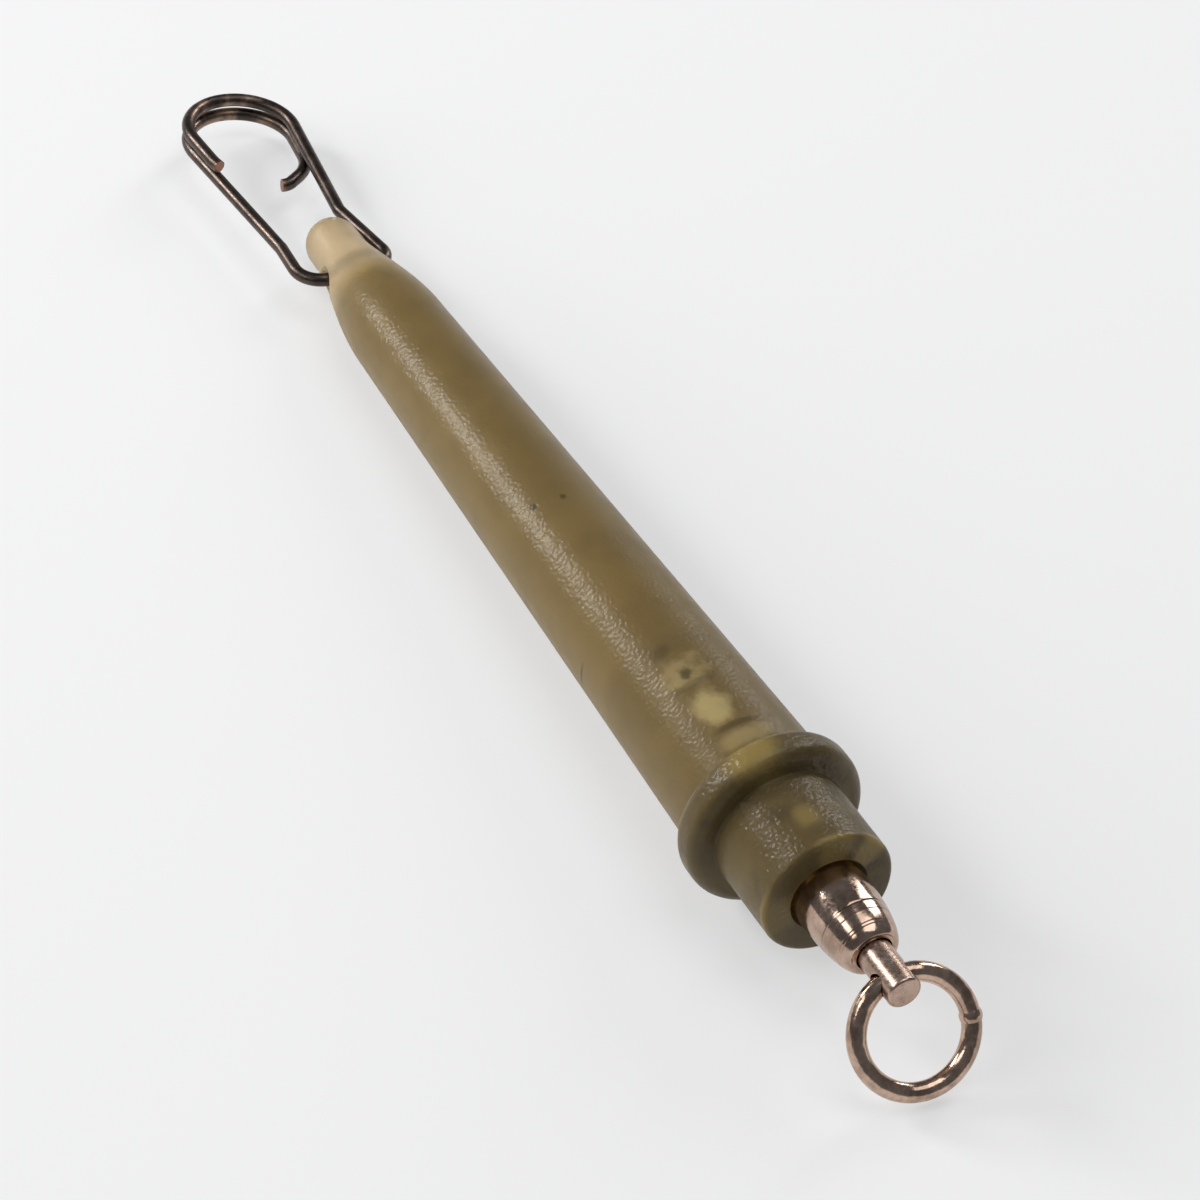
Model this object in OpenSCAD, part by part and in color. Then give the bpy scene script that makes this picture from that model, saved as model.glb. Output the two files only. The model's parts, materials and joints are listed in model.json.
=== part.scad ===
// Fishing float: a hollow tapered body with a wire clip at its nose and a ball-bearing swivel at its plug.
// Along the float, zero is the mouth of the body, plus runs to the swivel's ring and minus to the nose.
// The float lies on a level surface, on the rim of its flange and the shoulder of its nose.

/* [Body] */
// Outer diameter of the body at its mouth
mouth_d = 10; // [9:0.1:14]
// Outer diameter at the shoulder, where the long taper ends
shoulder_d = 7; // [6:0.1:8.6]
// Length of the long taper
taper_len = 52; // [40:1:80]
// Thickness of the moulded wall
wall = 0.9; // [0.6:0.05:1.1]

/* [Nose] */
// Diameter of the round eye at the tip
eye_d = 4; // [3.6:0.1:5.2]
// Length from the shoulder to the start of the eye
nose_len = 10; // [7:0.1:16]
// Length of the eye, with its domed tip
eye_len = 3.9; // [3:0.1:8]
// Distance of the cross hole from the tip
eye_hole_in = 5.6; // [4.6:0.1:6.4]
// Solid plastic between the hollow and the start of the eye
nose_floor = 4.2; // [3.4:0.1:6]
// Depth of the flare at each mouth of the cross hole
flare = 0.7; // [0.4:0.05:1]

/* [Plug] */
// Diameter of the flange
flange_d = 12; // [11.4:0.1:16]
// Width of the flange
flange_w = 2.5; // [2:0.1:5]
// Rounding of the flange's rims
flange_round = 0.9; // [0.4:0.05:0.95]
// Diameter of the cap in front of the flange
cap_d = 8.8; // [7.6:0.1:11]
// Length of the cap
cap_len = 6.2; // [5:0.1:10]
// Rounding of the cap's rim
cap_round = 0.35; // [0.1:0.05:0.8]
// Length of the spigot inside the body
spigot_len = 12; // [9:0.5:20]
// Gap round the spigot
spigot_gap = 0.05; // [0.02:0.01:0.1]
// Number of glue grooves round the spigot
groove_count = 3; // [1:1:3]
// Width of a glue groove
groove_w = 1.6; // [0.8:0.1:2.2]
// Depth of a glue groove
groove_depth = 0.4; // [0.2:0.05:0.8]
// Gap between the barrel and its seat in the cap
seat_gap = 0.2; // [0.1:0.02:0.4]

/* [Swivel] */
// Largest diameter of the barrel
barrel_d = 4.84; // [4.6:0.02:5.6]
// Length of the barrel
barrel_len = 9.2; // [8.6:0.1:11]
// Length of the barrel that stands out of the cap
barrel_out = 5.5; // [4.8:0.1:6.4]
// Thickness of the barrel's wall at the collar
barrel_wall = 0.34; // [0.2:0.02:0.45]
// Length of the collar that closes the barrel
collar_len = 2.3; // [1.6:0.1:2.8]
// Length of the collar's spigot in the barrel
collar_spigot = 0.6; // [0.3:0.05:1]
// Width of the collar's lip round the pin
collar_lip = 0.25; // [0.15:0.01:0.4]
// Thickness of the barrel's rear wall
rear_t = 1.2; // [0.9:0.05:1.4]
// Thickness of the bearing washer
washer_t = 0.5; // [0.35:0.05:0.8]
// Diameter of the pins
pin_d = 2.25; // [2:0.05:2.5]
// Length of the swivel pin outside the barrel
pin_out = 3.6; // [3:0.1:6]
// Rounding of the swivel pin's end
pin_round = 0.2; // [0.05:0.05:0.4]
// Thickness of the pins' heads
head_t = 1; // [0.6:0.05:1.2]
// Length of the anchor pin behind the barrel
anchor_out = 4; // [3:0.1:5]
// Diameter of the anchor pin's cross hole
anchor_hole_d = 1.1; // [0.6:0.05:1.4]
// Running clearance round the pins and the bearing
run_gap = 0.08; // [0.04:0.01:0.1]

/* [Ring] */
// Thickness of the ring's wire
ring_wire = 1.25; // [0.9:0.05:1.35]
// Inner diameter of the ring
ring_inner = 6; // [5.4:0.1:9]
// Distance of the ring's hole from the end of the pin
ring_hole_in = 1.4; // [1.2:0.05:1.6]
// Height of the weld bead over the wire
weld_rise = 0.09; // [0.04:0.01:0.15]
// Place of the weld bead round the ring
weld_angle = 80; // [40:5:140]

/* [Clip] */
// Thickness of the clip's wire
clip_wire = 0.95; // [0.8:0.01:1]
// Length from the cross hole to the top of the loop
clip_len = 22.2; // [20:0.1:32]
// Width of the loop over its wire's middle
loop_w = 7.9; // [7.2:0.1:12]
// Sideways place of the loop's middle from the float's axis
loop_shift = -0.8; // [-1:0.05:0.2]
// Width between the arms at the stirrup's shoulders
waist_w = 5.5; // [5.4:0.1:7]
// Room between the eye and the stirrup's left side
left_room = 0.9; // [0.5:0.05:1.2]
// Room between the eye and the stirrup's right side
right_room = 0.1; // [0.05:0.05:0.6]
// Radius of the stirrup's left corner
left_corner_r = 2.1; // [1.2:0.05:2.4]
// Radius of the stirrup's right corner
right_corner_r = 1.3; // [0.8:0.05:1.6]
// Height of the left shoulder above the cross hole
left_shoulder = 4.7; // [4.4:0.1:7]
// Height of the right shoulder above the cross hole
right_shoulder = 7; // [6.4:0.1:9]
// Radius of the bends at the shoulders
shoulder_r = 1.5; // [1:0.1:3]
// Gap between the two laps of the loop
lap_gap = 0.18; // [0.15:0.01:0.4]
// Straight length of the cut lap below the loop
end_run = 2.7; // [0.6:0.1:3]
// Turn of the cut lap's end
end_turn = 14; // [5:1:40]
// Straight length before the hook
hook_drop = 2.3; // [0.6:0.1:2.8]
// Radius of the hook
hook_r = 3.6; // [2.5:0.1:4.5]
// Turn of the hook
hook_turn = 48; // [30:1:60]
// Straight length of the hook
hook_run = 1; // [0.2:0.1:1.6]
// Radius of the hook's turned tip
tip_r = 1.1; // [0.8:0.1:2]
// Turn of the hook's tip
tip_turn = 46; // [20:1:60]

/* [Lie] */
// Droop of the ring from the float's axis
ring_droop = 57; // [0:1:60]
// Turn of the swivel about the float's axis
ring_roll = 9; // [-20:1:20]
// Droop of the clip from the float's axis
clip_droop = -1.5; // [-20:0.1:1]

/* [Hidden] */
$fn = 96;
// Hairline between pieces that are fixed to each other
fit = 0.01;
// Overrun of a cut past the face it goes through
over = 1;
// Steps in a rounded rim and in a long curve
rim_steps = 10;
curve_steps = 16;
// Latitudes at which a dome leaves its flat pole and meets the hollow's side
dome_pole = -80;
dome_foot = -10;

// Body
draft = (mouth_d - shoulder_d) / 2 / taper_len;
eye_start = -taper_len - nose_len;
tip_x = eye_start - eye_len;
eye_hole_x = tip_x + eye_hole_in;
hollow_end = eye_start + nose_floor;
// Ease of the nose's curve, and the share of the bore that the hollow's domed end takes
nose_ease = 1.2;
dome_share = 0.92;
function tube_r(x) = mouth_d / 2 + draft * x;
function bore_r(x) = tube_r(x) - wall;
function nose_r(u) = (eye_d + (shoulder_d - eye_d) * sin(90 * pow(u, nose_ease))) / 2;
hole_side = nose_r(max(0, (eye_hole_x - eye_start) / nose_len));

// Plug
cap_x = flange_w + cap_len;
function spigot_r(x) = bore_r(x) - spigot_gap;
groove_pitch = spigot_len / groove_count;
// Place of a groove in its pitch, from the flange
groove_place = 0.45;
grooves = [for (i = [groove_count - 1 : -1 : 0]) -groove_pitch * (i + groove_place)];

// Swivel
pin_r = pin_d / 2;
barrel_end = cap_x + barrel_out;
barrel_mid = barrel_end - barrel_len / 2;
barrel_back = barrel_end - barrel_len;
barrel_end_r = pin_r + run_gap + collar_lip;
function barrel_r(x) = barrel_end_r
    + (barrel_d / 2 - barrel_end_r) * sqrt(max(0, 1 - pow((x - barrel_mid) / (barrel_len / 2), 2)));
seam_x = barrel_end - collar_len;
barrel_bore = barrel_r(seam_x) - barrel_wall;
collar_back = seam_x - collar_spigot;
washer_back = collar_back - fit - washer_t;
ball_d = barrel_bore - pin_r - 2 * run_gap;
ball_orbit = (barrel_bore + pin_r) / 2;
ball_count = floor(180 / asin((ball_d / 2 + run_gap) / ball_orbit));
race_r = ball_d / 2 + run_gap / 2;
// Share of a ball that stands between its two races
race_open = 0.6;
race_gap = ball_d * race_open;
ball_x = washer_back - race_gap / 2;
head_front = washer_back - race_gap;
head_back = head_front - head_t;
rear_wall = barrel_back + rear_t;
rear_bore = barrel_r(rear_wall) - barrel_wall;
bore_step = rear_wall + head_t + 2 * run_gap;
pin_end = barrel_end + pin_out;
anchor_end = barrel_back - anchor_out;
anchor_hole_x = anchor_end + anchor_hole_d;

// Ring
ring_r = (ring_inner + ring_wire) / 2;
ring_hole_x = pin_end - ring_hole_in;
ring_sag = ring_r - sqrt(ring_r * ring_r - pin_r * pin_r);
ring_hole_r = (ring_wire + ring_sag) / 2 + run_gap / 2;
ring_reach = ring_r - ring_sag / 2;

// Clip
eye_hole_r = clip_wire / 2 + run_gap;
stirrup_r = hole_side + clip_wire / 2;
left_out = stirrup_r + left_room + loop_shift;
right_out = stirrup_r + right_room - loop_shift;
left_bar = left_out - left_corner_r;
right_bar = right_out - right_corner_r;
waist_r = waist_w / 2;
loop_r = loop_w / 2;
// Lean of a stirrup's side, and its length from the corner to the shoulder
function side_span(out, corner, height) = norm([height - corner, out - corner - waist_r]);
function lean(out, corner, height) =
    atan2(out - corner - waist_r, height - corner) + asin(corner / side_span(out, corner, height));
function side_len(out, corner, height) = sqrt(pow(side_span(out, corner, height), 2) - corner * corner);
// Spread of an arm, and its length from the shoulder to the loop
function arm_span(height) = norm([waist_r, clip_len - loop_r - height]);
function arm_angle(height) = asin(loop_r / arm_span(height)) - atan(waist_r / (clip_len - loop_r - height));
function arm_len(height) = sqrt(pow(arm_span(height), 2) - loop_r * loop_r);
lap_tilt = asin((clip_wire + lap_gap) / loop_w);
lap_turn = 180 + arm_angle(left_shoulder) + arm_angle(right_shoulder);
// Hairline between two lengths of wire, and the rise of the ball that joins them
joint_gap = 0.01;
joint_rise = 0.004;

// Lie of the float on its flange and its shoulder
lie_long = taper_len + flange_round;
lie_drop = (flange_d - shoulder_d) / 2 - flange_round;
lie = asin(flange_round / norm([lie_long, lie_drop])) + atan(lie_drop / lie_long);
axis_h = taper_len * sin(lie) + shoulder_d / 2 * cos(lie) + 2 * fit;
ring_dir_x = cos(ring_droop) * cos(lie) + sin(ring_droop) * cos(ring_roll) * sin(lie);
front_x = ring_hole_x * cos(lie) + ring_reach * ring_dir_x
    + ring_r * norm([ring_dir_x, sin(ring_roll) * sin(lie)]) + ring_wire / 2;
back_x = eye_hole_x * cos(lie) - clip_len * cos(lie + clip_droop) - clip_wire / 2;
middle_x = (front_x + back_x) / 2;

// Points of an arc in an outline, each as [radius, place along the float]
function arc(r, x, radius, from, to, steps) =
    [for (i = [0 : steps]) let (a = from + (to - from) * i / steps) [r + radius * cos(a), x + radius * sin(a)]];

// Lays a piece that is drawn along the float's axis down on the surface
module laid() {
    translate([-middle_x, 0, axis_h]) rotate([0, -lie, 0]) children();
}

// A turned form about the float's axis
module turned(outline) {
    rotate([0, 90, 0]) rotate_extrude() polygon(outline);
}

// A drilled or solid round from one place on the axis to another
module round_bar(from, to, radius) {
    translate([from, 0, 0]) rotate([0, 90, 0]) cylinder(h = to - from, r = radius);
}

module cross_hole(x, radius, length) {
    translate([x, 0, 0]) rotate([90, 0, 0]) cylinder(h = length, r = radius, center = true);
}

// The cross hole of the eye, with a flare at each mouth
module eye_hole() {
    cross_hole(eye_hole_x, eye_hole_r, shoulder_d);
    for (side = [0, 180]) rotate([side, 0, 0]) translate([eye_hole_x, hole_side - flare, 0])
        rotate([-90, 0, 0]) cylinder(h = 2 * flare, r1 = eye_hole_r, r2 = eye_hole_r + 2 * flare);
}

module float_tube() {
    dome_x = tip_x + eye_d / 2;
    hollow_r = bore_r(hollow_end + wall) * dome_share;
    outside = concat(
        [[0, tip_x]],
        arc(0, dome_x, eye_d / 2, dome_pole, 0, rim_steps),
        [for (i = [0 : curve_steps]) let (u = i / curve_steps) [nose_r(u), eye_start + nose_len * u]],
        [[mouth_d / 2, 0]]);
    hollow = concat(
        [[0, hollow_end]],
        arc(0, hollow_end + hollow_r, hollow_r, dome_pole, dome_foot, rim_steps),
        [[bore_r(-taper_len), -taper_len], [bore_r(0), 0], [bore_r(0), over], [0, over]]);
    color("#8a7850") laid() difference() {
        turned(outside);
        turned(hollow);
        eye_hole();
    }
}

// Outline of the spigot's side, from its back rim to the flange, with its glue grooves
function spigot_side(grow) = [for (x = grooves, p = [
    [spigot_r(x - groove_w / 2) + grow, x - groove_w / 2],
    [spigot_r(x - groove_w / 2) - groove_depth + grow, x - groove_w / 2],
    [spigot_r(x + groove_w / 2) - groove_depth + grow, x + groove_w / 2],
    [spigot_r(x + groove_w / 2) + grow, x + groove_w / 2]]) p];

module end_plug() {
    flange_r = flange_d / 2;
    cap_r = cap_d / 2;
    shape = concat(
        [[0, -spigot_len], [spigot_r(-spigot_len) - cap_round, -spigot_len],
            [spigot_r(-spigot_len), cap_round - spigot_len]],
        spigot_side(0),
        [[spigot_r(0), 0]],
        arc(flange_r - flange_round, flange_round, flange_round, -90, 0, rim_steps),
        arc(flange_r - flange_round, flange_w - flange_round, flange_round, 0, 90, rim_steps),
        [[cap_r, flange_w]],
        arc(cap_r - cap_round, cap_x - cap_round, cap_round, 0, 90, rim_steps),
        [[0, cap_x]]);
    seat = concat(
        [[0, barrel_back - seat_gap]],
        [for (i = [0 : curve_steps]) let (x = barrel_back + (barrel_mid - barrel_back) * i / curve_steps)
            [barrel_r(x) + seat_gap, x - seat_gap]],
        [[barrel_d / 2 + seat_gap, cap_x + over], [0, cap_x + over]]);
    color("#6f6140") laid() {
        difference() {
            turned(shape);
            turned(seat);
            round_bar(anchor_end - fit, barrel_back, pin_r + fit);
        }
        cross_hole(anchor_hole_x, anchor_hole_d / 2 - fit, pin_d + over);
    }
}

// Rings of glue in the grooves of the spigot
module seal_glue() {
    color("#b09a4e") laid() for (x = grooves) turned([
        [spigot_r(x) - groove_depth + 2 * fit, x - groove_w / 2 + fit],
        [bore_r(x - groove_w / 2) - 2 * fit, x - groove_w / 2 + fit],
        [bore_r(x - groove_w / 2) - 2 * fit, x + groove_w / 2 - fit],
        [spigot_r(x) - groove_depth + 2 * fit, x + groove_w / 2 - fit]]);
}

// Outline of the barrel's egg between two places
function egg(from, to) =
    [for (i = [0 : curve_steps]) let (x = from + (to - from) * i / curve_steps) [barrel_r(x), x]];

module swivel_barrel() {
    color("#8f7768") laid() difference() {
        turned(concat([[0, barrel_back]], egg(barrel_back, seam_x), [[0, seam_x]]));
        round_bar(barrel_back - over, seam_x, pin_r + run_gap);
        round_bar(rear_wall, seam_x, rear_bore);
        round_bar(bore_step, seam_x + over, barrel_bore);
    }
}

module barrel_collar() {
    color("#84705f") laid() difference() {
        union() {
            turned(concat([[0, seam_x + fit]], egg(seam_x + fit, barrel_end), [[0, barrel_end]]));
            round_bar(collar_back, seam_x + 2 * fit, barrel_bore - fit);
        }
        round_bar(collar_back - over, barrel_end + over, pin_r + run_gap);
    }
}

// Groove that the balls run in
module race() {
    translate([ball_x, 0, 0]) rotate([0, 90, 0]) rotate_extrude() translate([ball_orbit, 0]) circle(r = race_r);
}

module race_washer() {
    color("#9a9a9a") laid() difference() {
        round_bar(washer_back, washer_back + washer_t, barrel_bore - fit);
        round_bar(washer_back - over, washer_back + washer_t + over, pin_r + run_gap);
        race();
    }
}

module bearing_balls() {
    color("#c8c8c8") laid() for (i = [0 : ball_count - 1]) rotate([i * 360 / ball_count, 0, 0])
        translate([ball_x, 0, ball_orbit]) sphere(d = ball_d);
}

module swivel_pin() {
    color("#927a6b") laid() difference() {
        union() {
            turned(concat(
                [[0, head_back], [pin_r, head_back]],
                arc(pin_r - pin_round, pin_end - pin_round, pin_round, 0, 90, rim_steps),
                [[0, pin_end]]));
            round_bar(head_back, head_front, barrel_bore - 2 * run_gap);
        }
        race();
        rotate([ring_roll, 0, 0]) cross_hole(ring_hole_x, ring_hole_r, pin_d + over);
    }
}

module anchor_pin() {
    color("#927a6b") laid() difference() {
        union() {
            round_bar(anchor_end, rear_wall + run_gap, pin_r);
            round_bar(rear_wall + run_gap, rear_wall + run_gap + head_t, rear_bore - run_gap);
        }
        cross_hole(anchor_hole_x, anchor_hole_d / 2, pin_d + over);
    }
}

module line_ring() {
    color("#a58a78") laid() translate([ring_hole_x, 0, 0]) rotate([ring_roll, 0, 0]) rotate([0, ring_droop, 0])
        translate([ring_reach, 0, 0]) {
            rotate_extrude() translate([ring_r, 0]) circle(d = ring_wire);
            rotate([0, 0, weld_angle]) translate([ring_r, 0, 0]) sphere(d = ring_wire + 2 * weld_rise);
        }
}

// A ball that joins two lengths of the clip's wire
module joint() {
    sphere(d = clip_wire + 2 * joint_rise);
}

// A straight length of the clip's wire, with what follows it
module run(length) {
    ends = $children > 0 ? 2 : 1;
    translate([0, 0, joint_gap]) cylinder(h = length - ends * joint_gap, d = clip_wire);
    translate([0, 0, length]) {
        if ($children > 0) joint();
        children();
    }
}

// A bend of the clip's wire, with what follows it; side 180 bends it the other way
module bend(radius, turn, side = 0) {
    slack = joint_gap / radius * 180 / PI;
    rotate([0, 0, side]) {
        translate([radius, 0, 0]) rotate([90, 0, 0]) rotate([0, 0, 180 - turn + slack])
            rotate_extrude(angle = turn - 2 * slack) translate([radius, 0]) circle(d = clip_wire);
        translate([radius * (1 - cos(turn)), 0, radius * sin(turn)]) rotate([0, turn, 0])
            rotate([0, 0, -side]) {
                if ($children > 0) joint();
                children();
            }
    }
}

// Half of the clip, from the end of its bar once round the loop
module half_clip(out, corner, height) {
    tilt = lean(out, corner, height);
    spread = arm_angle(height);
    bow = spread + tilt;
    cut = shoulder_r * tan(abs(bow) / 2);
    translate([0, corner - out, 0]) rotate([-90, 0, 180]) {
        joint();
        bend(corner, 90 + tilt)
        run(side_len(out, corner, height) - cut) bend(shoulder_r, abs(bow), bow > 0 ? 180 : 0)
        run(arm_len(height) - cut) rotate([0, 0, lap_tilt]) bend(loop_r, lap_turn)
        children();
    }
}

module snap_clip() {
    color("#54473e") laid() translate([eye_hole_x, loop_shift, 0]) rotate([0, -clip_droop, 0]) {
        translate([0, joint_gap - left_bar, 0]) rotate([-90, 0, 0])
            cylinder(h = left_bar + right_bar - 2 * joint_gap, d = clip_wire);
        half_clip(left_out, left_corner_r, left_shoulder)
            run(hook_drop) bend(hook_r, hook_turn) run(hook_run) bend(tip_r, tip_turn);
        rotate([180, 0, 0]) half_clip(right_out, right_corner_r, right_shoulder)
            run(end_run) bend(loop_r, end_turn);
    }
}

float_tube();
end_plug();
seal_glue();
swivel_barrel();
barrel_collar();
race_washer();
bearing_balls();
swivel_pin();
anchor_pin();
line_ring();
snap_clip();
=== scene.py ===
import json
import math
import bmesh
import bpy
from mathutils import Matrix, Vector


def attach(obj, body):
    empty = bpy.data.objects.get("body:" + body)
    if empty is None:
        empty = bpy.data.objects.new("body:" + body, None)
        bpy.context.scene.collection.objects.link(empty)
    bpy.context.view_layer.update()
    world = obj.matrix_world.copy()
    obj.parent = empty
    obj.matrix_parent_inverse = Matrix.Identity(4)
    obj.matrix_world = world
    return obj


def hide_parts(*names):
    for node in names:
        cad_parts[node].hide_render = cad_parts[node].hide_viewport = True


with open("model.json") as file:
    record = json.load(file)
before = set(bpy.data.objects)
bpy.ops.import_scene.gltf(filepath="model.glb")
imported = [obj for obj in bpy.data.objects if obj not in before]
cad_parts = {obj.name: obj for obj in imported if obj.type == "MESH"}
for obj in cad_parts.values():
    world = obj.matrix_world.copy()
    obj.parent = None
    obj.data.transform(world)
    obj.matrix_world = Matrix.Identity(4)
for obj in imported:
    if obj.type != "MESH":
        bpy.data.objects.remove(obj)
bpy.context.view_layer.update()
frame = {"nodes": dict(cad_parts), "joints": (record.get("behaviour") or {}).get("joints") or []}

mm = 0.001
scene = bpy.context.scene
joints = {joint["name"]: joint for joint in frame["joints"]}

# The float's own line: x runs along its axis to the ring, and zero is the mouth of the body
floatLine = {"ringHole": 16.4}
lineDir = Vector(joints["barrel_spin"]["axis"]).normalized()
sideDir = Vector((0, 1, 0))
riseDir = lineDir.cross(sideDir)
ringHole = Vector(joints["ring_swing"]["pos_m"])
mouth = ringHole - lineDir * floatLine["ringHole"] * mm
floatFrame = Matrix((lineDir, sideDir, riseDir)).transposed().to_4x4()
floatFrame.translation = mouth


# The camera stands in the float's own line, in millimetres, and clips in metres
cameraSet = {
    "azimuth": 63.348, "elevation": 41.194,
    "target": (-21.674, 0, -0.506), "distance": 270.507,
    "lens": 126, "sensor": 36, "clip": (0.01, 20),
}


def makeCamera():
    turn = math.radians(cameraSet["azimuth"])
    rise = math.radians(cameraSet["elevation"])
    back = Vector((math.sin(turn) * math.cos(rise), -math.cos(turn) * math.cos(rise), math.sin(rise)))
    right = Vector((math.cos(turn), math.sin(turn), 0))
    place = Matrix((right, back.cross(right), back)).transposed().to_4x4()
    place.translation = (Vector(cameraSet["target"]) + back * cameraSet["distance"]) * mm
    data = bpy.data.cameras.new("photoCamera")
    data.sensor_width = cameraSet["sensor"]
    data.lens = cameraSet["lens"]
    data.clip_start, data.clip_end = cameraSet["clip"]
    camera = bpy.data.objects.new("photoCamera", data)
    scene.collection.objects.link(camera)
    camera.matrix_world = floatFrame @ place
    scene.camera = camera


makeCamera()
print("camera placed")


# Node helpers: an input is a value or another node's socket
def addNode(tree, kind, inputs=None, **settings):
    node = tree.nodes.new(kind)
    for name, value in settings.items():
        setattr(node, name, value)
    for name, value in (inputs or {}).items():
        if isinstance(value, bpy.types.NodeSocket):
            tree.links.new(value, node.inputs[name])
        else:
            node.inputs[name].default_value = value
    return node


def calc(tree, operation, first, second=0.0):
    return addNode(tree, "ShaderNodeMath", {0: first, 1: second}, operation=operation).outputs[0]


def fade(tree, value, low, high, bottom=0.0, top=1.0):
    inputs = {"Value": value, "From Min": low, "From Max": high, "To Min": bottom, "To Max": top}
    return addNode(tree, "ShaderNodeMapRange", inputs, interpolation_type="SMOOTHSTEP").outputs[0]


# The colours of a Mix node are its inputs 6 and 7, and its output 2
def blendColour(tree, share, first, second):
    inputs = {0: share, 6: first, 7: second}
    return addNode(tree, "ShaderNodeMix", inputs, data_type="RGBA").outputs[2]


def speckle(tree, where, scale, detail=2.0, rough=0.5):
    inputs = {"Vector": where, "Scale": scale, "Detail": detail, "Roughness": rough}
    return addNode(tree, "ShaderNodeTexNoise", inputs).outputs["Fac"]


speckleSpan = (0.3, 0.7)  # most of a speckle lies between these
speckleMiddle = 0.5


def startMaterial(name):
    material = bpy.data.materials.new(name)
    material.use_nodes = True
    tree = material.node_tree
    return material, tree, tree.nodes["Principled BSDF"]


def setShader(shader, values):
    for name, value in values.items():
        shader.inputs[name].default_value = value


# Object coordinates turned to millimetres in the float's own line
def floatPlace(tree):
    source = addNode(tree, "ShaderNodeTexCoord").outputs["Object"]
    inputs = {"Vector": source, "Location": mouth, "Rotation": floatFrame.to_euler(), "Scale": (mm, mm, mm)}
    return addNode(tree, "ShaderNodeMapping", inputs, vector_type="TEXTURE").outputs["Vector"]


# Millimetres from the mouth along the float, and the angle round it from its top
def alongFloat(tree, where):
    return addNode(tree, "ShaderNodeSeparateXYZ", {"Vector": where}).outputs["X"]


def roundFloat(tree, where):
    parts = addNode(tree, "ShaderNodeSeparateXYZ", {"Vector": where}).outputs
    return calc(tree, "ARCTAN2", parts["Y"], parts["Z"])


patchCorner = 2.6  # 2 makes a patch an ellipse, and more makes it squarer


# A soft-edged patch at a place along and round the float, with a ragged edge
def patchMask(tree, where, along, angle, spot):
    ragged = calc(tree, "SUBTRACT", speckle(tree, where, spot["grain"]), speckleMiddle)
    byAlong = calc(tree, "DIVIDE", calc(tree, "SUBTRACT", along, spot["along"]), spot["length"])
    byAngle = calc(tree, "SUBTRACT", angle, math.radians(spot["angle"]))
    byAngle = calc(tree, "DIVIDE", byAngle, math.radians(spot["width"]))
    powers = [calc(tree, "POWER", calc(tree, "ABSOLUTE", way), patchCorner) for way in (byAlong, byAngle)]
    reach = calc(tree, "POWER", calc(tree, "ADD", powers[0], powers[1]), 1 / patchCorner)
    edge = calc(tree, "ADD", reach, calc(tree, "MULTIPLY", ragged, spot["ragged"]))
    return fade(tree, edge, 1.0 + spot["soft"], 1.0 - spot["soft"])


# What the body's and the plug's plastic share: smear changes the roughness, scatter is light inside
plasticSet = {
    "sheen": (0.55, 0.47, 0.34, 1), "shine": 0.10, "refraction": 1.49,
    "scatter": 0.5, "scatterSpread": (1.0, 0.85, 0.5),
    "smear": 0.8, "smoother": 0.04, "rougher": 0.06, "bumpStrength": 0.9, "skinRough": 0.27,
}
# Skin is a clear coat; depth, relief and under are in millimetres, and clear is what light goes through
bodyFinish = {
    "olive": (0.415, 0.294, 0.110, 1), "nose": (0.73, 0.565, 0.340, 1), "plugged": (0.39, 0.272, 0.104, 1),
    "glue": (1.0, 0.80, 0.380, 1), "shade": (0.100, 0.074, 0.036, 1),
    "noseStart": -59.4, "noseEnd": -56.4,
    "spigotEnd": -12.0, "spigotSoft": 0.6, "spigotShare": 0.6,
    "cloud": 0.3, "cloudSpan": (0.93, 1.07),
    "grain": 4.0, "rough": 0.46, "depth": 1.2, "clear": 0.7,
    "skin": 0.27, "relief": 0.050, "under": 0.012,
}
# What shows through the wall: places along the float in millimetres and round it in degrees
glueSpots = [
    {"along": -8.2, "angle": -13, "length": 1.35, "width": 15,
     "grain": 0.9, "ragged": 1.9, "soft": 0.45, "share": 0.55},
    {"along": -4.6, "angle": -12, "length": 1.50, "width": 12,
     "grain": 0.8, "ragged": 1.3, "soft": 0.40, "share": 0.95},
    {"along": -1.2, "angle": -5, "length": 0.65, "width": 18,
     "grain": 0.9, "ragged": 1.1, "soft": 0.50, "share": 0.60},
    {"along": -5.6, "angle": 118, "length": 1.50, "width": 20,
     "grain": 0.7, "ragged": 1.2, "soft": 0.45, "share": 0.60},
    {"along": -9.6, "angle": -140, "length": 1.20, "width": 24,
     "grain": 0.7, "ragged": 1.4, "soft": 0.45, "share": 0.60},
]
# Painted shade at the edges of the spigot's grooves and in a notch of the glue, seen through the wall; the
# last three are dark specks and a hair in the plastic
shadeAndSpeckSpots = [
    {"along": -6.9, "angle": -13, "length": 0.28, "width": 16,
     "grain": 0.9, "ragged": 1.0, "soft": 0.60, "share": 0.40},
    {"along": -2.4, "angle": -5, "length": 0.24, "width": 15,
     "grain": 0.9, "ragged": 0.8, "soft": 0.60, "share": 0.60},
    {"along": -10.5, "angle": -18, "length": 0.50, "width": 7,
     "grain": 0.9, "ragged": 1.2, "soft": 0.60, "share": 0.45},
    {"along": -8.05, "angle": -11.5, "length": 0.45, "width": 5.0,
     "grain": 1.6, "ragged": 2.2, "soft": 0.60, "share": 0.80},
    {"along": -27.4, "angle": -27.6, "length": 0.30, "width": 3.2,
     "grain": 1.9, "ragged": 1.6, "soft": 0.40, "share": 0.85},
    {"along": -27.0, "angle": 0.2, "length": 0.22, "width": 2.6,
     "grain": 1.9, "ragged": 1.2, "soft": 0.45, "share": 0.80},
    {"along": -15.2, "angle": -89, "length": 0.13, "width": 10,
     "grain": 0.4, "ragged": 0.3, "soft": 0.50, "share": 0.75},
]


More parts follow.
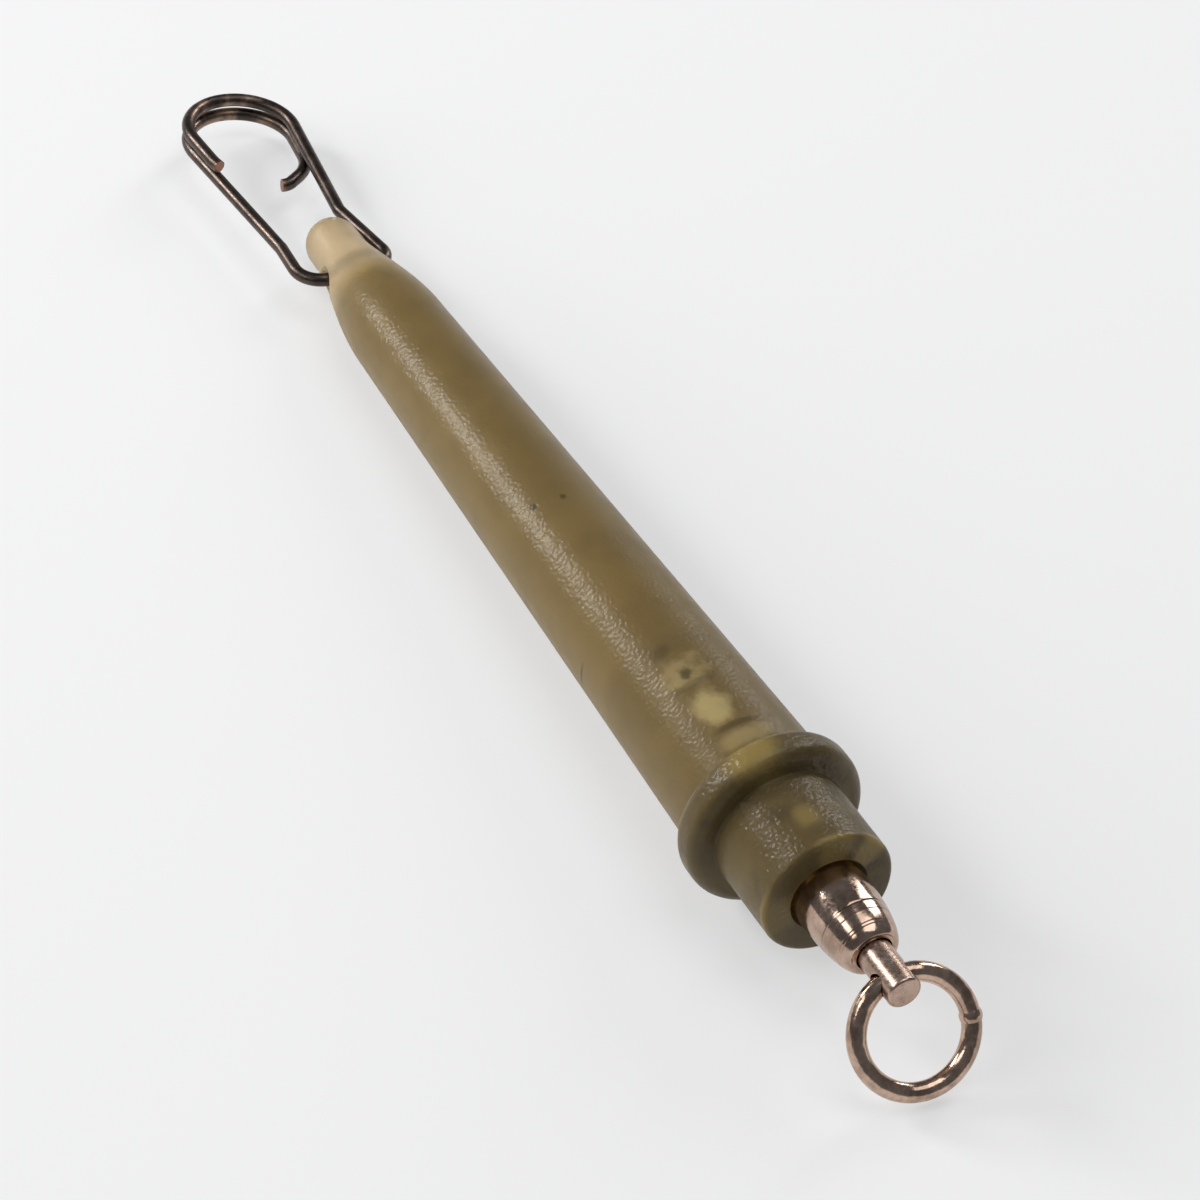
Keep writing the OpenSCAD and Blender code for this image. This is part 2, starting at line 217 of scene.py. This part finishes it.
# Lays spots of one colour over what is there
def throughWall(tree, colour, where, spots, seen):
    along = alongFloat(tree, where)
    angle = roundFloat(tree, where)
    for spot in spots:
        share = calc(tree, "MULTIPLY", patchMask(tree, where, along, angle, spot), spot["share"])
        colour = blendColour(tree, share, colour, seen)
    return colour


# Fine grain of a moulded skin, which breaks its highlight up into sparks and leaves what is under it clear
def mouldGrain(tree, shader, where, finish):
    smear = speckle(tree, where, plasticSet["smear"])
    low = finish["rough"] - plasticSet["smoother"]
    high = finish["rough"] + plasticSet["rougher"]
    tree.links.new(fade(tree, smear, *speckleSpan, low, high), shader.inputs["Roughness"])
    grain = speckle(tree, where, finish["grain"], detail=0.0)
    for socket, depth in (("Coat Normal", finish["relief"]), ("Normal", finish["under"])):
        inputs = {"Height": grain, "Strength": plasticSet["bumpStrength"], "Distance": depth * mm}
        bump = addNode(tree, "ShaderNodeBump", inputs)
        tree.links.new(bump.outputs[0], shader.inputs[socket])
    setShader(shader, {"Coat Weight": finish["skin"], "Coat Roughness": plasticSet["skinRough"]})


# Light goes some way into the plastic before it comes back out
def softPlastic(shader, finish):
    setShader(shader, {
        "Transmission Weight": finish["clear"],
        "Subsurface Weight": plasticSet["scatter"],
        "Subsurface Radius": plasticSet["scatterSpread"],
        "Subsurface Scale": finish["depth"] * mm,
        "IOR": plasticSet["refraction"],
        "Specular IOR Level": plasticSet["shine"],
        "Specular Tint": plasticSet["sheen"],
    })


def bodyMaterial():
    material, tree, shader = startMaterial("oliveBody")
    where = floatPlace(tree)
    along = alongFloat(tree, where)
    nose = fade(tree, along, bodyFinish["noseEnd"], bodyFinish["noseStart"])
    colour = blendColour(tree, nose, bodyFinish["olive"], bodyFinish["nose"])
    low = bodyFinish["spigotEnd"] - bodyFinish["spigotSoft"]
    high = bodyFinish["spigotEnd"] + bodyFinish["spigotSoft"]
    plugged = fade(tree, along, low, high, 0, bodyFinish["spigotShare"])
    colour = blendColour(tree, plugged, colour, bodyFinish["plugged"])
    colour = throughWall(tree, colour, where, glueSpots, bodyFinish["glue"])
    # Painted shade of the grooves and of a notch inside, and dark specks and a hair
    colour = throughWall(tree, colour, where, shadeAndSpeckSpots, bodyFinish["shade"])
    cloud = fade(tree, speckle(tree, where, bodyFinish["cloud"]), *speckleSpan, *bodyFinish["cloudSpan"])
    clouded = addNode(tree, "ShaderNodeVectorMath", {0: colour, "Scale": cloud}, operation="SCALE")
    tree.links.new(clouded.outputs[0], shader.inputs["Base Color"])
    mouldGrain(tree, shader, where, bodyFinish)
    softPlastic(shader, bodyFinish)
    return material


plugFinish = {
    "olive": (0.18, 0.126, 0.047, 1), "warm": (0.54, 0.39, 0.120, 1), "dark": (0.10, 0.070, 0.030, 1),
    "cloud": 0.5, "darkSpan": (0.45, 0.3), "darkShare": 0.5,
    "grain": 3.8, "rough": 0.48, "depth": 0.9, "clear": 0.50,
    "skin": 0.32, "relief": 0.085, "under": 0.016,
}
plugSpots = [
    {"along": 1.4, "angle": -14, "length": 1.0, "width": 15,
     "grain": 0.7, "ragged": 0.8, "soft": 0.50, "share": 0.75},
    {"along": 6.1, "angle": -3.6, "length": 0.9, "width": 9,
     "grain": 0.8, "ragged": 0.8, "soft": 0.60, "share": 0.50},
    {"along": 8.6, "angle": 47, "length": 0.4, "width": 13,
     "grain": 0.9, "ragged": 0.6, "soft": 0.50, "share": 0.80},
    {"along": 8.6, "angle": 5, "length": 0.4, "width": 16,
     "grain": 0.9, "ragged": 0.8, "soft": 0.50, "share": 0.50},
    {"along": 8.6, "angle": -95, "length": 0.4, "width": 25,
     "grain": 0.9, "ragged": 0.8, "soft": 0.50, "share": 0.35},
    {"along": 1.2, "angle": 150, "length": 1.0, "width": 22,
     "grain": 0.7, "ragged": 0.9, "soft": 0.50, "share": 0.55},
]


def plugMaterial():
    material, tree, shader = startMaterial("olivePlug")
    where = floatPlace(tree)
    cloud = speckle(tree, where, plugFinish["cloud"], detail=1.0)
    dark = fade(tree, cloud, *plugFinish["darkSpan"], 0, plugFinish["darkShare"])
    colour = blendColour(tree, dark, plugFinish["olive"], plugFinish["dark"])
    colour = throughWall(tree, colour, where, plugSpots, plugFinish["warm"])
    tree.links.new(colour, shader.inputs["Base Color"])
    mouldGrain(tree, shader, where, plugFinish)
    softPlastic(shader, plugFinish)
    return material


# What all the metals share: spans are speckle levels, noise is detail and roughness, depth is in millimetres
metalSet = {
    "cloudNoise": (3.0, 0.6), "stainSpan": (0.35, 0.68), "wearAndHighlightSpan": (0.62, 0.38), "cutCore": 0.75,
    "pitNoise": (3.0, 0.65), "smoother": 0.05, "rougher": 0.09, "depth": 0.03,
    "pitShare": 0.4, "markShare": 0.8, "swellStrength": 0.8,
}


# Plated metal: a tint with stains, worn places that also carry a painted highlight, cut places, and fine
# pits, turning marks or lumps
def metalMaterial(name, finish):
    material, tree, shader = startMaterial(name)
    where = floatPlace(tree)
    cloud = speckle(tree, where, finish["cloud"], *metalSet["cloudNoise"])
    colour = blendColour(tree, fade(tree, cloud, *metalSet["stainSpan"]), finish["tint"], finish["stain"])
    # Patches of a lighter copper over the far bend: worn plating and a painted highlight
    if "wearAndHighlight" in finish:
        wearAndHighlightMask = fade(tree, alongFloat(tree, where), finish["wearAndHighlightStart"], finish["wearAndHighlightEnd"])
        wearAndHighlightMask = calc(tree, "MULTIPLY", wearAndHighlightMask, fade(tree, cloud, *metalSet["wearAndHighlightSpan"]))
        colour = blendColour(tree, wearAndHighlightMask, colour, finish["wearAndHighlight"])
    for end in finish.get("cutEnds", ()):
        apart = addNode(tree, "ShaderNodeVectorMath", {0: where, 1: end}, operation="DISTANCE")
        core = metalSet["cutCore"] * finish["cutReach"]
        cut = fade(tree, apart.outputs["Value"], finish["cutReach"], core)
        colour = blendColour(tree, cut, colour, finish["bare"])
    tree.links.new(colour, shader.inputs["Base Color"])
    pits = speckle(tree, where, finish["pits"], *metalSet["pitNoise"])
    low = finish["rough"] - metalSet["smoother"]
    high = finish["rough"] + metalSet["rougher"]
    tree.links.new(fade(tree, pits, *speckleSpan, low, high), shader.inputs["Roughness"])
    height = pits
    if "turning" in finish:
        lineOnly = addNode(tree, "ShaderNodeCombineXYZ", {"X": alongFloat(tree, where)}).outputs[0]
        marks = speckle(tree, lineOnly, finish["turning"])
        height = calc(tree, "ADD", calc(tree, "MULTIPLY", pits, metalSet["pitShare"]),
                      calc(tree, "MULTIPLY", marks, metalSet["markShare"]))
    inputs = {"Height": height, "Strength": finish["bump"], "Distance": metalSet["depth"] * mm}
    bump = addNode(tree, "ShaderNodeBump", inputs)
    if "lumps" in finish:
        lumps = speckle(tree, where, finish["lumps"], detail=1.0)
        inputs = {"Height": lumps, "Strength": metalSet["swellStrength"], "Distance": finish["swell"] * mm}
        swell = addNode(tree, "ShaderNodeBump", inputs)
        tree.links.new(swell.outputs[0], bump.inputs["Normal"])
    tree.links.new(bump.outputs[0], shader.inputs["Normal"])
    setShader(shader, {"Metallic": 1.0})
    return material


barrelFinish = {
    "tint": (0.56, 0.405, 0.315, 1), "stain": (0.36, 0.25, 0.19, 1), "cloud": 0.7,
    "pits": 4.0, "rough": 0.13, "bump": 0.12, "turning": 9.0,
}
pinFinish = {
    "tint": (0.55, 0.40, 0.32, 1), "stain": (0.37, 0.26, 0.20, 1), "cloud": 1.1,
    "pits": 6.0, "rough": 0.27, "bump": 0.25,
}
ringFinish = {
    "tint": (0.60, 0.43, 0.33, 1), "stain": (0.34, 0.235, 0.175, 1), "cloud": 0.9,
    "pits": 3.0, "rough": 0.15, "bump": 0.35, "lumps": 0.75, "swell": 0.11,
}
# The clip's far bend is painted a lighter copper, partly worn plating and partly a painted highlight, and
# its plating is missing on the cut ends of the wire
clipFinish = {
    "tint": (0.120, 0.090, 0.074, 1), "stain": (0.064, 0.050, 0.043, 1), "cloud": 0.45,
    "pits": 3.0, "rough": 0.34, "bump": 0.10,
    "wearAndHighlight": (0.34, 0.23, 0.17, 1), "wearAndHighlightStart": -79.6, "wearAndHighlightEnd": -81.8,
    "bare": (0.30, 0.155, 0.105, 1), "cutReach": 0.56,
    "cutEnds": ((-74.54, -4.22, 1.37), (-72.54, -0.28, -0.25)),
}
steelFinish = {
    "tint": (0.62, 0.62, 0.62, 1), "stain": (0.5, 0.5, 0.5, 1), "cloud": 0.8,
    "pits": 6.0, "rough": 0.15, "bump": 0.05,
}
glueFinish = {
    "clear": (0.42, 0.33, 0.11, 1), "bubble": (0.28, 0.21, 0.07, 1),
    "cloud": 1.2, "bubbleSpan": (0.4, 0.62), "rough": 0.25,
}


def glueMaterial():
    material, tree, shader = startMaterial("yellowGlue")
    cloud = speckle(tree, floatPlace(tree), glueFinish["cloud"])
    bubbles = fade(tree, cloud, *glueFinish["bubbleSpan"])
    colour = blendColour(tree, bubbles, glueFinish["clear"], glueFinish["bubble"])
    tree.links.new(colour, shader.inputs["Base Color"])
    setShader(shader, {"Roughness": glueFinish["rough"]})
    return material


oliveBody = bodyMaterial()
olivePlug = plugMaterial()
barrelMetal = metalMaterial("barrelPlate", barrelFinish)
pinMetal = metalMaterial("pinPlate", pinFinish)
ringMetal = metalMaterial("ringPlate", ringFinish)
clipMetal = metalMaterial("clipPlate", clipFinish)
bearingMetal = metalMaterial("bearingSteel", steelFinish)
yellowGlue = glueMaterial()
print("materials made")

# How finely pieces are turned, and the distances in metres at which points count as one
meshSet = {"turnSteps": 160, "turnWeld": 1e-7, "turnSliver": 1e-8, "onRim": 1e-6, "lastWeld": 2e-6}


# A turned piece: the outline holds places along the float and radii, in millimetres
def turnOutline(outline, closed=False, steps=meshSet["turnSteps"]):
    shape = bmesh.new()
    points = [shape.verts.new((x * mm, 0, r * mm)) for x, r in outline]
    pairs = list(zip(points, points[1:]))
    if closed:
        pairs.append((points[-1], points[0]))
    edges = [shape.edges.new(pair) for pair in pairs]
    bmesh.ops.spin(shape, geom=points + edges, cent=(0, 0, 0), axis=(1, 0, 0), angle=2 * math.pi,
                   steps=steps, use_merge=True)
    bmesh.ops.remove_doubles(shape, verts=shape.verts, dist=meshSet["turnWeld"])
    bmesh.ops.dissolve_degenerate(shape, edges=shape.edges, dist=meshSet["turnSliver"])
    bmesh.ops.recalc_face_normals(shape, faces=shape.faces)
    return shape


# Rounds the ring of edges at one place of a turned piece
def roundRim(shape, along, radius, width, segments):
    def onRim(vert):
        offLine = abs(vert.co.x - along * mm)
        offRim = abs(math.hypot(vert.co.y, vert.co.z) - radius * mm)
        return max(offLine, offRim) < meshSet["onRim"]

    rim = [edge for edge in shape.edges if onRim(edge.verts[0]) and onRim(edge.verts[1])]
    bmesh.ops.bevel(shape, geom=rim, offset=width * mm, offset_type="OFFSET", segments=segments, profile=0.5,
                    affect="EDGES", material=-1, clamp_overlap=True)


# Cuts one shape out of another with an exact boolean, both in the float's own line
def cutAway(shape, cutter):
    objects = []
    for part in (shape, cutter):
        mesh = bpy.data.meshes.new("cutting")
        part.to_mesh(mesh)
        part.free()
        objects.append(bpy.data.objects.new("cutting", mesh))
        scene.collection.objects.link(objects[-1])
    modifier = objects[0].modifiers.new("cut", "BOOLEAN")
    modifier.operation = "DIFFERENCE"
    modifier.solver = "EXACT"
    modifier.object = objects[1]
    evaluated = objects[0].evaluated_get(bpy.context.evaluated_depsgraph_get())
    done = bmesh.new()
    done.from_mesh(bpy.data.meshes.new_from_object(evaluated))
    for obj in objects:
        bpy.data.objects.remove(obj)
    return done


# Cleans a finished shape, lays it down with the float and sets it on its body
def addPiece(name, shape, body, material, nodes, sharp):
    bmesh.ops.remove_doubles(shape, verts=shape.verts, dist=meshSet["lastWeld"])
    bmesh.ops.dissolve_degenerate(shape, edges=shape.edges, dist=meshSet["lastWeld"])
    bmesh.ops.triangulate(shape, faces=[face for face in shape.faces if len(face.verts) > 4])
    bmesh.ops.recalc_face_normals(shape, faces=shape.faces)
    bmesh.ops.transform(shape, matrix=floatFrame, verts=shape.verts)
    mesh = bpy.data.meshes.new(name)
    shape.to_mesh(mesh)
    shape.free()
    mesh.materials.append(material)
    mesh.shade_smooth()
    mesh.set_sharp_from_angle(angle=math.radians(sharp))
    piece = bpy.data.objects.new(name, mesh)
    scene.collection.objects.link(piece)
    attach(piece, body)
    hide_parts(*nodes)
    print("piece", name, len(mesh.polygons), "faces")


# Lengths in millimetres; a round is its width and its number of segments, and sharp is in degrees
bodySet = {
    "mouth": 10.0, "shoulder": 7.0, "taper": 52.0, "wall": 0.9, "mouthRound": (0.12, 3),
    "noseLength": 10.0, "ease": 1.2, "eye": 4.0, "eyeLength": 3.9, "domeRoom": 0.03,
    "holeIn": 5.6, "holeRadius": 0.555, "flare": 0.7, "holeSteps": 48,
    "floor": 4.2, "dome": 2.26, "steps": 28, "sharp": 38,
}


def makeBody():
    half, eye, steps = bodySet["mouth"] / 2, bodySet["eye"] / 2, bodySet["steps"]
    eyeStart = -bodySet["taper"] - bodySet["noseLength"]
    tip = eyeStart - bodySet["eyeLength"]
    swell = bodySet["shoulder"] / 2 - eye

    def noseRadius(share):
        return eye + swell * math.sin(math.pi / 2 * share ** bodySet["ease"])

    quarter = [math.pi / 2 * i / steps for i in range(steps + 1)]
    domeRadius = eye - bodySet["domeRoom"]  # stays clear of the clip's stirrup
    dome = [(tip + eye - eye * math.cos(a), domeRadius * math.sin(a)) for a in quarter]
    nose = [(eyeStart + bodySet["noseLength"] * i / steps, noseRadius(i / steps)) for i in range(steps + 1)]
    bore = half - bodySet["wall"]
    inner = bodySet["shoulder"] / 2 - bodySet["wall"]
    end, cup = eyeStart + bodySet["floor"], bodySet["dome"]
    # the last steps of the cup are left to the wall's own line
    hollow = [(end + cup - cup * math.cos(a), cup * math.sin(a)) for a in reversed(quarter[:-2])]
    shape = turnOutline(dome + nose + [(0, half), (0, bore), (-bodySet["taper"], inner)] + hollow)
    roundRim(shape, 0, half, *bodySet["mouthRound"])

    holeAlong = tip + bodySet["holeIn"]
    holeSide = noseRadius((holeAlong - eyeStart) / bodySet["noseLength"])
    flare, hole = bodySet["flare"], bodySet["holeRadius"]
    wide, far, near = hole + 2 * flare, holeSide + flare, holeSide - flare
    barOutline = [(-far, 0), (-far, wide), (-near, hole), (near, hole), (far, wide), (far, 0)]
    bar = turnOutline(barOutline, steps=bodySet["holeSteps"])
    across = Matrix.Translation((holeAlong * mm, 0, 0)) @ Matrix.Rotation(math.pi / 2, 4, "Z")
    bmesh.ops.transform(bar, matrix=across, verts=bar.verts)
    shape = cutAway(shape, bar)
    addPiece("floatBody", shape, "float", oliveBody, ["float_tube"], bodySet["sharp"])


plugSet = {
    "flange": 12.0, "flangeWidth": 2.5, "flangeRound": (0.9, 8),
    "cap": 8.8, "capLength": 6.2, "capRound": (0.35, 6), "capFootRound": (0.15, 3),
    "spigot": 12.0, "spigotGap": 0.05,
    "grooves": (-9.8, -5.8, -1.8), "grooveWidth": 1.6, "grooveDepth": 0.4,
    "seatGap": 0.2, "seatRound": (0.13, 3), "seatSteps": 20,
    "anchorHole": 1.135, "anchorEnd": 0.99, "sharp": 38,
}
barrelSet = {
    "widest": 4.84, "length": 9.2, "back": 5.0, "endRadius": 1.455,
    "seam": 11.9, "seamRound": (0.05, 2),
    "bore": 1.951, "boreStep": 7.36, "rearBore": 1.765, "rearWall": 6.2, "hole": 1.205,
    "steps": 40, "sharp": 30,
}


# The egg of the barrel and its collar, which the plug's seat follows too
def barrelRadius(along):
    middle = barrelSet["back"] + barrelSet["length"] / 2
    share = max(0.0, 1 - ((along - middle) / (barrelSet["length"] / 2)) ** 2)
    return barrelSet["endRadius"] + (barrelSet["widest"] / 2 - barrelSet["endRadius"]) * math.sqrt(share)


def spigotRadius(along):
    slope = (bodySet["mouth"] - bodySet["shoulder"]) / 2 / bodySet["taper"]
    return bodySet["mouth"] / 2 + slope * along - bodySet["wall"] - plugSet["spigotGap"]


def makePlug():
    flange, flangeWidth, cap = plugSet["flange"] / 2, plugSet["flangeWidth"], plugSet["cap"] / 2
    front = flangeWidth + plugSet["capLength"]
    gap, back = plugSet["seatGap"], barrelSet["back"]
    seatMouth = barrelSet["widest"] / 2 + gap
    outline = [(-plugSet["spigot"], 0), (-plugSet["spigot"], spigotRadius(-plugSet["spigot"]))]
    for groove in plugSet["grooves"]:
        for side, depth in ((-1, 0), (-1, 1), (1, 1), (1, 0)):
            place = groove + side * plugSet["grooveWidth"] / 2
            outline.append((place, spigotRadius(place) - depth * plugSet["grooveDepth"]))
    outline += [(0, spigotRadius(0)), (0, flange), (flangeWidth, flange), (flangeWidth, cap),
                (front, cap), (front, seatMouth)]
    half, steps = barrelSet["length"] / 2, plugSet["seatSteps"]
    seat = [back + half * (1 - math.cos(math.pi / 2 * i / steps)) for i in range(steps + 1)]
    outline += [(along - gap, barrelRadius(along) + gap) for along in reversed(seat) if along - gap < front]
    outline += [(back - gap, plugSet["anchorHole"]), (plugSet["anchorEnd"], plugSet["anchorHole"]),
                (plugSet["anchorEnd"], 0)]
    shape = turnOutline(outline)
    roundRim(shape, 0, flange, *plugSet["flangeRound"])
    roundRim(shape, flangeWidth, flange, *plugSet["flangeRound"])
    roundRim(shape, flangeWidth, cap, *plugSet["capFootRound"])
    roundRim(shape, front, cap, *plugSet["capRound"])
    roundRim(shape, front, seatMouth, *plugSet["seatRound"])
    addPiece("endPlugMoulding", shape, "float", olivePlug, ["end_plug"], plugSet["sharp"])


def makeBarrel():
    back, seam, steps = barrelSet["back"], barrelSet["seam"], barrelSet["steps"]
    egg = [back + (seam - back) * i / steps for i in range(steps + 1)]
    outline = [(along, barrelRadius(along)) for along in egg]
    bore, rearBore, hole = barrelSet["bore"], barrelSet["rearBore"], barrelSet["hole"]
    boreStep, rearWall = barrelSet["boreStep"], barrelSet["rearWall"]
    outline += [(seam, bore), (boreStep, bore), (boreStep, rearBore), (rearWall, rearBore),
                (rearWall, hole), (back, hole)]
    shape = turnOutline(outline, closed=True)
    roundRim(shape, seam, barrelRadius(seam), *barrelSet["seamRound"])
    addPiece("barrelShell", shape, "barrel", barrelMetal, ["swivel_barrel"],
             barrelSet["sharp"])


collarSet = {
    "back": 11.3, "end": 14.2, "gap": 0.01, "seamRound": (0.05, 2), "holeRound": (0.06, 2),
    "marks": (12.55, 13.35, 13.55), "markWidth": 0.09, "markDepth": 0.035, "sharp": 30,
}


def makeCollar():
    gap, end, steps = collarSet["gap"], collarSet["end"], barrelSet["steps"]
    start = barrelSet["seam"] + gap
    neck, hole = barrelSet["bore"] - gap, barrelSet["hole"]
    places = [start + (end - start) * math.sin(math.pi / 2 * i / steps) for i in range(steps + 1)]
    outline = []
    for along in places:
        if all(abs(along - mark) > collarSet["markWidth"] for mark in collarSet["marks"]):
            outline.append((along, barrelRadius(along)))
    width, depth = collarSet["markWidth"] / 2, collarSet["markDepth"]
    for mark in collarSet["marks"]:
        outline += [(mark - width, barrelRadius(mark - width)), (mark, barrelRadius(mark) - depth),
                    (mark + width, barrelRadius(mark + width))]
    outline.sort()
    outline += [(end, hole), (collarSet["back"], hole), (collarSet["back"], neck), (start, neck)]
    shape = turnOutline(outline, closed=True)
    roundRim(shape, start, barrelRadius(start), *collarSet["seamRound"])
    roundRim(shape, end, hole, *collarSet["holeRound"])
    addPiece("collarTurned", shape, "barrel", barrelMetal, ["barrel_collar"],
             collarSet["sharp"])


makeBody()
makePlug()
makeBarrel()
makeCollar()

# Pieces whose solids are already right take only their finish
solidFinishes = {
    "snap_clip": clipMetal, "line_ring": ringMetal, "swivel_pin": pinMetal, "anchor_pin": pinMetal,
    "race_washer": bearingMetal, "bearing_balls": bearingMetal, "seal_glue": yellowGlue,
}
for node, material in solidFinishes.items():
    mesh = frame["nodes"][node].data
    mesh.materials.clear()
    mesh.materials.append(material)
print("finishes set on the solids")

# Lengths in metres; share is how much of the glow replaces the paint where the table is seen
floorSet = {"half": 3.0, "drop": 0.00002, "paint": 0.90, "glow": 0.90, "share": 0.50}


def makeFloor():
    sheet = bmesh.new()
    bmesh.ops.create_grid(sheet, x_segments=1, y_segments=1, size=floorSet["half"],
                          matrix=Matrix.Translation((0, 0, -floorSet["drop"])))
    mesh = bpy.data.meshes.new("paleTable")
    sheet.to_mesh(mesh)
    sheet.free()
    material, tree, shader = startMaterial("paleTable")
    tree.nodes.remove(shader)
    paint = addNode(tree, "ShaderNodeBsdfDiffuse", {"Color": (floorSet["paint"],) * 3 + (1,)})
    glow = addNode(tree, "ShaderNodeEmission", {"Color": (floorSet["glow"],) * 3 + (1,), "Strength": 1.0})
    path = addNode(tree, "ShaderNodeLightPath").outputs
    seen = calc(tree, "MAXIMUM", path["Is Camera Ray"], path["Is Glossy Ray"])
    seen = calc(tree, "MAXIMUM", seen, path["Is Transmission Ray"])
    share = calc(tree, "MULTIPLY", seen, floorSet["share"])
    both = addNode(tree, "ShaderNodeMixShader", {0: share, 1: paint.outputs[0], 2: glow.outputs[0]})
    tree.links.new(both.outputs[0], tree.nodes["Material Output"].inputs["Surface"])
    mesh.materials.append(material)
    table = bpy.data.objects.new("paleTable", mesh)
    scene.collection.objects.link(table)


# Lamps stand off from the float in a direction, in metres and watts; glints says if reflections show a lamp
lampAim = (-0.020, 0, 0.005)
lampSet = {
    "keyLamp": {"toward": (-0.67, -0.55, 0.49), "away": 0.55, "size": (0.12, 0.18),
                "power": 1.5, "glints": True},
    "leftLamp": {"toward": (-0.35, -0.90, 0.25), "away": 0.60, "size": (0.50, 0.30),
                 "power": 1.8, "glints": False},
    "topLamp": {"toward": (0.10, 0.25, 1.0), "away": 0.60, "size": (0.40, 0.40),
                "power": 1.0, "glints": True},
    "stripLamp": {"toward": (-0.05, -0.70, 0.71), "away": 0.60, "size": (0.34, 0.15),
                  "power": 0.55, "glints": True},
    "rightLamp": {"toward": (-0.35, 0.80, 0.50), "away": 0.60, "size": (0.16, 0.30),
                  "power": 1.0, "glints": True},
}
roomColour = (0.15, 0.157, 0.172, 1)


def makeLamps():
    for name, lamp in lampSet.items():
        data = bpy.data.lights.new(name, "AREA")
        data.shape = "RECTANGLE"
        data.size, data.size_y = lamp["size"]
        data.energy = lamp["power"]
        toward = Vector(lamp["toward"]).normalized()
        obj = bpy.data.objects.new(name, data)
        obj.location = Vector(lampAim) + toward * lamp["away"]
        obj.rotation_euler = toward.to_track_quat("Z", "Y").to_euler()
        obj.visible_glossy = lamp["glints"]
        obj.visible_transmission = False  # a lamp seen through the plastic makes dark mottles
        scene.collection.objects.link(obj)


def makeRoom():
    world = bpy.data.worlds.new("studio")
    world.use_nodes = True
    world.node_tree.nodes["Background"].inputs["Color"].default_value = roomColour
    scene.world = world


makeFloor()
makeLamps()
makeRoom()
scene.view_settings.view_transform = "Standard"
print("table and lamps set")
